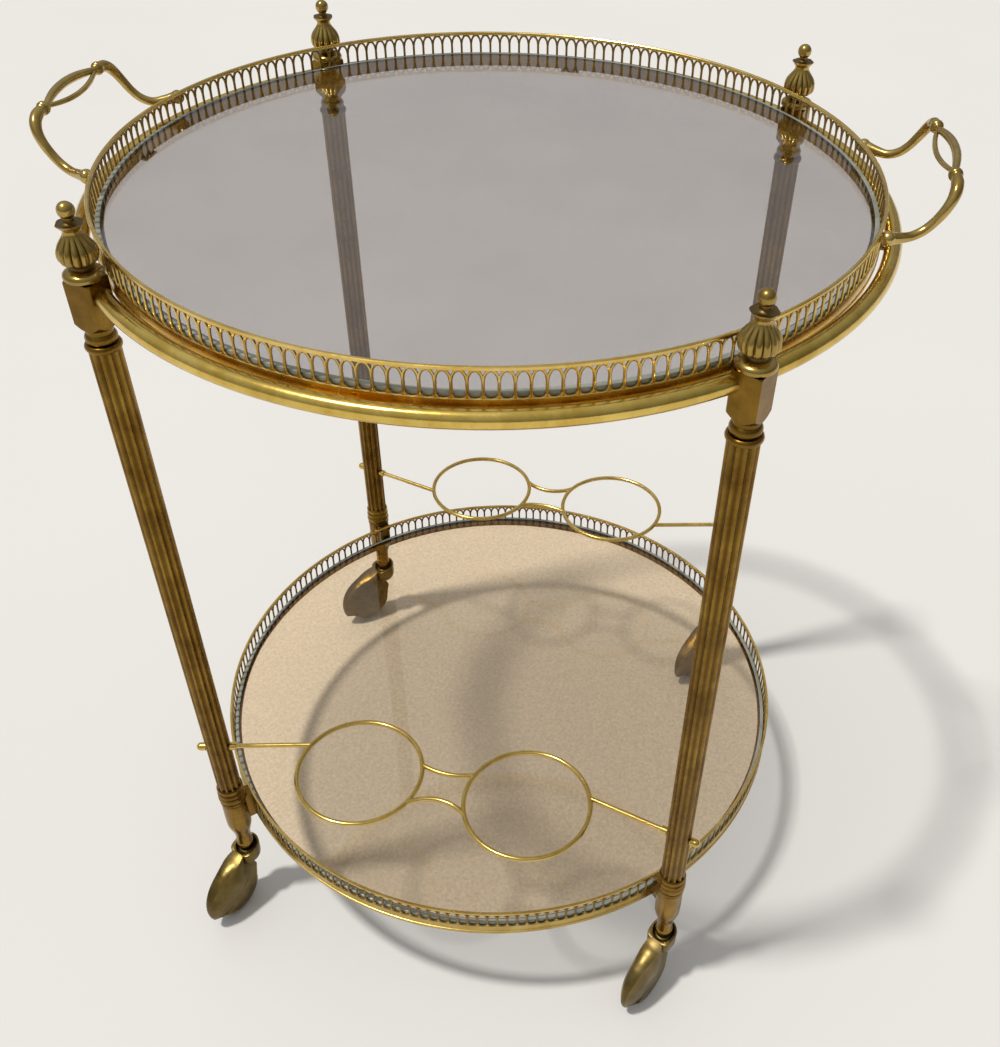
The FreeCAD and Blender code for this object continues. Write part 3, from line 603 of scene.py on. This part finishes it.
def ferrule(foot):
    """Ferrule bored for its stem: a beaded foot, a bell that swells in an S, then the rounded rings of the
    collar, each the side of an ellipse."""
    base = [[0, 36], [3.95, 36], [3.95, 0.1], [6.8, 0.1], [7.6, 0.7], [7.8, 1.5], [7.6, 2.3], [7.1, 2.9],
            [7.0, 4.0]]
    t = np.linspace(0, 1, 14)
    bell = np.stack([7.1 + 4.2 * smooth(t), 13.0 + 23.0 * t], -1)
    barrel = [[11.45, 46], [11.3, 66.8], [10.3, 67.4]]
    ring_sizes = ((11.9, 69.6, 2.1), (12.4, 75.6, 3.7), (12.1, 82.0, 2.6), (11.8, 87.9, 3.0))
    bulge = 1.8
    arc = np.linspace(-0.92, 0.92, 9)
    rings = [np.stack([reach - bulge + bulge * np.sqrt(1 - arc ** 2), middle + half * arc], -1)
             for reach, middle, half in ring_sizes]
    lid = [[10.3, 91.0], [0, 91.0]]
    profile = np.concatenate([base, bell, barrel, *rings, lid])
    shade = np.where((profile[:, 0] < 11.0) & (profile[:, 1] > 60), 0.8, 0.0)
    return moved(lathe(profile, 64, shade_and_tarnish=shade), foot)


for leg in LEGS:
    foot = leg_foot(leg)
    column = moved(shaft(low("leg_" + leg)[2], high("leg_" + leg)[2]), foot)
    piece("leg_fluted_" + leg, [column], "frame", brass["leg"], ["leg_" + leg], crease=50.0)
    bell = ferrule(foot + [0, 0, low("ferrule_" + leg)[2]])
    piece("ferrule_turned_" + leg, [bell], "frame", brass["leg"], ["ferrule_" + leg])


# Casters

AXLE_X, AXLE_Z = 27.0, 28.5
HOOD_WALL = 1.4
STEM_TAIL = 4
TAIL_ANGLE, FRONT_ANGLE = -27.0, 153.0


def hood_edge(angle):
    """The hood's edge by the angle about the axle, in degrees from the tail's side: the crease of the top
    facet from tail to cup, and the open lip round the rest. Gives the edge's radius, half the width there,
    the power of the cheek's curve, half the width at the belly, and where the facet covers it."""
    covered = (angle >= TAIL_ANGLE) & (angle <= FRONT_ANGLE)
    crease = np.interp(angle, [-27, -10, 10, 40, 54, 70, 81, 90, 103, 111, 114, 120, 153],
                       [33.4, 32.9, 32.3, 31.9, 31.8, 32.0, 33.1, 34.8, 38.7, 43.0, 40.0, 34.0, 31.5])
    facet = np.interp(angle, [-27, 0, 25, 50, 75, 90, 98, 104, 111, 120, 135, 153],
                      [1.5, 2.4, 3.7, 5.1, 6.3, 7.4, 8.0, 8.0, 6.6, 5.2, 5.2, 7.0])
    power = np.interp(angle, [-27, 25, 70, 111], [3.6, 3.5, 2.6, 2.4])
    belly = np.interp(angle, [-27, 20, 60, 90, 111, 130, 153], [10.0, 10.4, 11.0, 11.6, 12.0, 11.8, 10.2])
    lip = np.where(angle < 0, 24.0, np.interp(angle, [153, 163, 178], [31.5, 27.4, 24.0]))
    lip_width = np.where(angle < 0, 8.8, np.interp(angle, [153, 178], [7.0, 8.8]))
    return (np.where(covered, crease, lip), np.where(covered, facet, lip_width),
            np.where(covered, power, 4.0), np.where(covered, belly, 10.4), covered)


def about_axle(radius, angle, y):
    """Points at a radius and an angle in degrees about the axle, y to the side."""
    radius, turn, y = np.broadcast_arrays(radius, np.radians(angle), y)
    return np.stack([AXLE_X + radius * np.cos(turn), y, AXLE_Z + radius * np.sin(turn)], -1)


def hood_shell():
    """Mussel-shaped shell with a wall: two cheeks, each a fan about the axle that stands out by one minus a
    power of its radius, a crowned facet between their creases from cup to tail, and rims from outer to inner
    skin."""
    over = np.unique(np.concatenate([np.linspace(TAIL_ANGLE, FRONT_ANGLE, 61), [109.5, 112.0, 116.5]]))
    lip_step = 5
    under = np.linspace(FRONT_ANGLE + lip_step, 360 + TAIL_ANGLE - lip_step, 50)
    angle = np.concatenate([over, under])
    edge, width, power, belly, covered = hood_edge(np.where(angle > 180, angle - 360, angle))
    share = np.concatenate([np.linspace(0, 0.8, 9), np.linspace(0.84, 1, 7)])[None, :]
    lip = np.where(covered, 0.0, 1.0)[:, None]
    bead = lip * np.exp(-((share - 0.95) / 0.035) ** 2)
    hub = 10.5
    middle = hub + (belly[:, None] - hub) * smooth(share / 0.5)
    stand = width[:, None] + (middle - width[:, None]) * (1 - share ** power[:, None]) + 0.6 * bead
    reach = edge[:, None] * share
    inner_reach = reach - HOOD_WALL * (1 - lip) * share ** 4
    inner_stand = np.maximum(stand - 0.7 * HOOD_WALL, 0.4)
    # Cheeks darkened evenly; their outer edge and the lip's bead are left bright as a painted highlight
    darker_cheeks_bright_edges = 0.45 * (1 - bead) * (1 - share ** 14)
    rows = len(over)
    surfaces = []
    for side in (-1, 1):
        outer = about_axle(reach, angle[:, None], side * stand)
        inner = about_axle(inner_reach, angle[:, None], side * inner_stand)
        rims = np.stack([outer[:, -1], inner[:, -1]], 1)
        rims = np.concatenate([rims[rows - 1:], rims[:1]])
        # Inner skins painted dark as the shade inside the shell
        surfaces += [sheet(outer, wrap_rows=True, shade_and_tarnish=darker_cheeks_bright_edges),
                     sheet(inner, wrap_rows=True, shade_and_tarnish=0.9), sheet(rims)]
    across = np.linspace(-1, 1, 13)[None, :]
    over = over[:, None]
    crown = (0.4 + 1.3 * np.exp(-((over - 84) / 24) ** 2)) * (1 - across ** 2)
    top = about_axle(edge[:rows, None] + crown, over, stand[:rows, -1:] * across)
    under_top = about_axle(inner_reach[:rows, -1:] + crown, over, inner_stand[:rows, -1:] * across)
    # Painted shade over the facet's tail half, fading towards the cup, with its edges left bright as a
    # painted highlight; the facet's underside is painted dark as shade
    facet_tail_shade_edge_highlight = 0.5 * smooth((88 - over) / 20) * (1 - across ** 6)
    surfaces += [sheet(top, shade_and_tarnish=facet_tail_shade_edge_highlight), sheet(under_top, shade_and_tarnish=0.9)]
    for end in (0, -1):
        surfaces.append(sheet(np.stack([top[end], under_top[end]], 1)))
    return surfaces


def hood_cup():
    """Cup in front of the hood: a ball below, an upright wall above whose rim slopes down towards the tail,
    and a round hollow. Its plan is a half circle in front and a fuller half, with squarer corners, where it
    meets the facet. What would reach the wheel is pushed out to the facet's wall."""
    ball_z, radius, wheel_room = 60.0, 12.2, 30.8
    rim_z, rim_slope, fuller_from = 71.4, 2.4, 10.8
    drop = np.linspace(-TURN / 4, 0, 10)
    level = np.zeros(len(drop))
    # Radius, height, and 1 where the height is counted from the sloping rim
    bowl = np.stack([radius * np.maximum(np.cos(drop), 0), ball_z + radius * np.sin(drop), level], -1)
    wall = [[radius, 62.5, 0], [12.3, -1.4, 1], [12.0, -0.4, 1], [11.2, 0, 1], [10.2, -0.3, 1]]
    hollow = [[9.7, -1.2, 1], [9.6, 65.2, 0], [9.0, 64.5, 0], [0, 64.5, 0]]
    profile = np.concatenate([bowl, wall, hollow])
    number = np.arange(len(profile))
    angle = np.linspace(0, TURN, 64, endpoint=False)[:, None]
    c, s = np.cos(angle), np.sin(angle)
    fuller = np.where(c > 0, (np.abs(c) ** 4 + np.abs(s) ** 4) ** (-1 / 4), 1.0)
    plan = profile[:, 0] * np.where(profile[:, 0] > fuller_from, fuller, 1.0)
    x, y = plan * c, plan * s
    z = profile[:, 1] + profile[:, 2] * (rim_z - rim_slope * c)
    off = np.hypot(x - AXLE_X, z - AXLE_Z)
    push = np.where((number <= len(bowl)) & (off < wheel_room), wheel_room / np.maximum(off, 1), 1.0)
    points = np.stack([AXLE_X + (x - AXLE_X) * push, y, AXLE_Z + (z - AXLE_Z) * push], -1)
    # Painted shade in the round hollow, a light darkening over the rest
    dirt_and_shade = np.where(number > len(bowl) + len(wall), 0.95, 0.2)
    return sheet(points, wrap_rows=True, shade_and_tarnish=dirt_and_shade[None, :])


def stem(floor_z, ferrule_z):
    """Turned stem: a collar on the floor of the cup, a neck as wide as the ferrule's foot, and the pin in
    its bore."""
    pin, pin_top, neck_z = 3.8, ferrule_z + 35.8, ferrule_z - 0.15
    tail_z = floor_z - STEM_TAIL
    profile = [[0, tail_z], [pin, tail_z], [pin, floor_z + 0.1], [7.4, floor_z + 0.1],
               [8.0, floor_z + 0.7], [8.0, floor_z + 2.0], [7.4, floor_z + 2.7], [6.2, floor_z + 3.2],
               [6.0, floor_z + 4.2], [6.4, neck_z - 5], [6.8, neck_z - 1], [6.5, neck_z],
               [pin, neck_z], [pin, pin_top], [0, pin_top]]
    # Painted shade under the collar and in the waist above it
    dirt_and_shade = np.array([0, 0, 0, 0.4, 0, 0, 0.3, 0.8, 0.5, 0, 0, 0, 0, 0, 0])
    return lathe(profile, 48, shade_and_tarnish=dirt_and_shade)


for leg in LEGS:
    foot, heading = leg_foot(leg), CASTER_HEADING[leg]
    body = "caster_" + leg
    shell = [moved(spun(surface, heading), foot) for surface in hood_shell() + [hood_cup()]]
    piece("hood_cast_" + leg, shell, body, brass["hood"], ["caster_hood_" + leg], crease=32.0)
    cup_floor = low("caster_stem_" + leg)[2] + STEM_TAIL
    turned = moved(stem(cup_floor, low("ferrule_" + leg)[2]), foot)
    piece("stem_turned_" + leg, [turned], body, brass["hood"], ["caster_stem_" + leg])


# Tray handles

GRIP_X, GRIP_Z = 310.6, 719.6
FOOT_Y, FOOT_Z = 77, 689


def handle_arm(side):
    """One arm: a bar along a smooth path from its ball foot on the strip to the collar, swelling at the
    shoulder."""
    steps = 64
    route = rounded([(269.5, FOOT_Y, FOOT_Z), (277, 72.4, 687.8), (285.7, 67.6, 687.4), (293.4, 64.8, 690.6),
                     (299.4, 63.4, 696.4), (304.4, 62.4, 703.8), (308.0, 60.0, 710.8), (310.0, 55.4, 716.0),
                     (310.7, 48.5, 718.9), (GRIP_X, 40, GRIP_Z)], steps)
    girth = np.interp(np.linspace(0, 1, steps), [0, 0.08, 0.2, 0.45, 0.62, 0.74, 0.86, 0.95, 1],
                      [4.6, 3.9, 3.2, 3.2, 3.6, 4.1, 4.2, 3.5, 3.2])
    return tube(route * [1, side, 1], girth, sides=20, side_way=(0.3, 0.1, 1))


def handle_collar(side):
    """Olive collar about the grip, round by a half ellipse, with two turned grooves, each a bell curve."""
    middle, half_length, radius = 41.2, 5.6, 4.8
    groove_place, groove_width, groove_deep = 0.42, 0.09, 0.45
    along = np.linspace(-1, 1, 25)[1:-1]
    groove = np.exp(-((np.abs(along) - groove_place) / groove_width) ** 2)
    girth = radius * np.sqrt(1 - along ** 2) - groove_deep * groove
    level = np.ones(len(along))
    path = np.stack([GRIP_X * level, side * (middle + half_length * along), GRIP_Z * level], -1)
    # Painted shade with tarnish in the collar's two grooves
    return tube(path, girth, sides=24, side_way=(0, 0, 1), shade_and_tarnish=0.7 * groove)


def handle_strand(bow_x, bow_z, middle, ends):
    """One strand of the open almond: a bar from collar to collar, bowed by a parabola, thickest in its
    middle."""
    half_span = 37
    way = np.linspace(-1, 1, 41)
    bow = 1 - way ** 2
    path = np.stack([GRIP_X + bow_x * bow, half_span * way, GRIP_Z + bow_z * bow], -1)
    return tube(path, ends + (middle - ends) * smooth(bow), sides=18, side_way=(0, 0, 1))


def handle(turn):
    """Cast handle in its own frame, along x, then turned to its side of the tray."""
    surfaces = [handle_strand(bow_x=5.2, bow_z=2.8, middle=3.1, ends=2.4),
                handle_strand(bow_x=-5.4, bow_z=-3.2, middle=1.9, ends=1.6)]
    for side in (-1, 1):
        ball_foot = ball((269.2, side * FOOT_Y, FOOT_Z), 5.2)
        surfaces += [handle_arm(side), handle_collar(side), ball_foot]
    return [spun(surface, turn) for surface in surfaces]


for node, turn in HANDLE_TURN.items():
    piece(node + "_cast", handle(turn), "tray", brass["handle"], [node], crease=40.0)


# Stage, light and camera

FLOOR_HALF = 60.0
LAMP_WAY = (-0.32, -0.17, 0.93)
LAMP_COLOUR = (1.0, 0.985, 0.965)
PHOTO_WIDTH, PHOTO_HEIGHT = 1000, 1047
SENSOR = 36.0


def plain_floor():
    """Pale floor: a broad flat sheet at the wheels' feet."""
    span = FLOOR_HALF * np.array([[-1, -1], [1, -1], [1, 1], [-1, 1]])
    mesh = bpy.data.meshes.new("floor")
    mesh.from_pydata(np.column_stack([span, np.zeros(4)]), [], [[0, 1, 2, 3]])
    material, tree, shader = blank("pale_floor")
    clouds = noise(tree, 1.2, detail=2, rough=0.5)
    colour = ramp(tree, clouds, (0.3, (0.83, 0.805, 0.77)), (0.7, (0.85, 0.83, 0.795)))
    tree.links.new(colour, shader.inputs["Base Color"])
    shader.inputs["Roughness"].default_value = 0.9
    shader.inputs["Specular IOR Level"].default_value = 0.1
    mesh.materials.append(material)
    made = bpy.data.objects.new("floor", mesh)
    bpy.context.scene.collection.objects.link(made)


def standing(side, up, back, place):
    """Matrix of a lamp or camera at a place, from the ways of its side, its top and its back."""
    return Matrix([(side[i], up[i], back[i], place[i]) for i in range(3)] + [(0, 0, 0, 1)])


def key_lamp(towards, strength, width, colour):
    """Far soft lamp that lights everything evenly from one side, as wide as an angle in degrees. Its back
    points towards that side."""
    data = bpy.data.lights.new("key_lamp", "SUN")
    data.energy = strength
    data.angle = math.radians(width)
    data.color = colour
    back = np.array(towards, float) / np.linalg.norm(towards)
    side = np.cross([0, 0, 1], back)
    side /= np.linalg.norm(side)
    made = bpy.data.objects.new("key_lamp", data)
    made.matrix_world = standing(side, np.cross(back, side), back, (0, 0, 4))
    bpy.context.scene.collection.objects.link(made)


def soft_world():
    """Even surrounding light, brighter overhead than at the horizon, and dimmer on the right."""
    world = bpy.data.worlds.new("soft_world")
    bpy.context.scene.world = world
    world.use_nodes = True
    tree = world.node_tree
    background = tree.nodes["Background"]
    coords = tree.nodes.new("ShaderNodeTexCoord")
    parts = tree.nodes.new("ShaderNodeSeparateXYZ")
    tree.links.new(coords.outputs["Generated"], parts.inputs["Vector"])
    height = spread(tree, parts.outputs["Z"], (-0.1, 1.0), (0, 1))
    sky = ramp(tree, height, (0.0, (0.30, 0.29, 0.28)), (0.3, (0.52, 0.52, 0.52)),
               (0.6, (0.73, 0.74, 0.75)), (1.0, (0.95, 0.945, 0.93)))
    tree.links.new(sky, background.inputs["Color"])
    strength = spread(tree, parts.outputs["X"], (-0.2, 0.9), (0.68, 0.34))
    tree.links.new(strength, background.inputs["Strength"])


def photo_camera():
    """Camera at the photograph's place, from its yaw, pitch and roll. Its focal length and the point it
    looks at are in the photograph's pixels."""
    pitch, roll, yaw = (math.radians(angle) for angle in (41.518, 1.71, -11.074))
    focal, centre_x, centre_y = 1117.635, 558.094, 543.55
    ahead = np.array([math.sin(yaw) * math.cos(pitch), math.cos(yaw) * math.cos(pitch), -math.sin(pitch)])
    level = np.array([math.cos(yaw), -math.sin(yaw), 0.0])
    upright = np.cross(level, ahead)
    right = math.cos(roll) * level + math.sin(roll) * upright
    up = math.cos(roll) * upright - math.sin(roll) * level
    data = bpy.data.cameras.new("camera")
    data.sensor_fit = "HORIZONTAL"
    data.sensor_width = SENSOR
    data.lens = SENSOR * focal / PHOTO_WIDTH
    data.shift_x = (PHOTO_WIDTH / 2 - centre_x) / PHOTO_WIDTH
    data.shift_y = (centre_y - PHOTO_HEIGHT / 2) / PHOTO_WIDTH
    made = bpy.data.objects.new("camera", data)
    made.matrix_world = standing(right, up, -ahead, (0.202374, -0.751866, 1.01672))
    bpy.context.scene.collection.objects.link(made)
    bpy.context.scene.camera = made


plain_floor()
soft_world()
key_lamp(LAMP_WAY, strength=1.87, width=5.0, colour=LAMP_COLOUR)
photo_camera()
bpy.context.scene.view_settings.view_transform = "Standard"
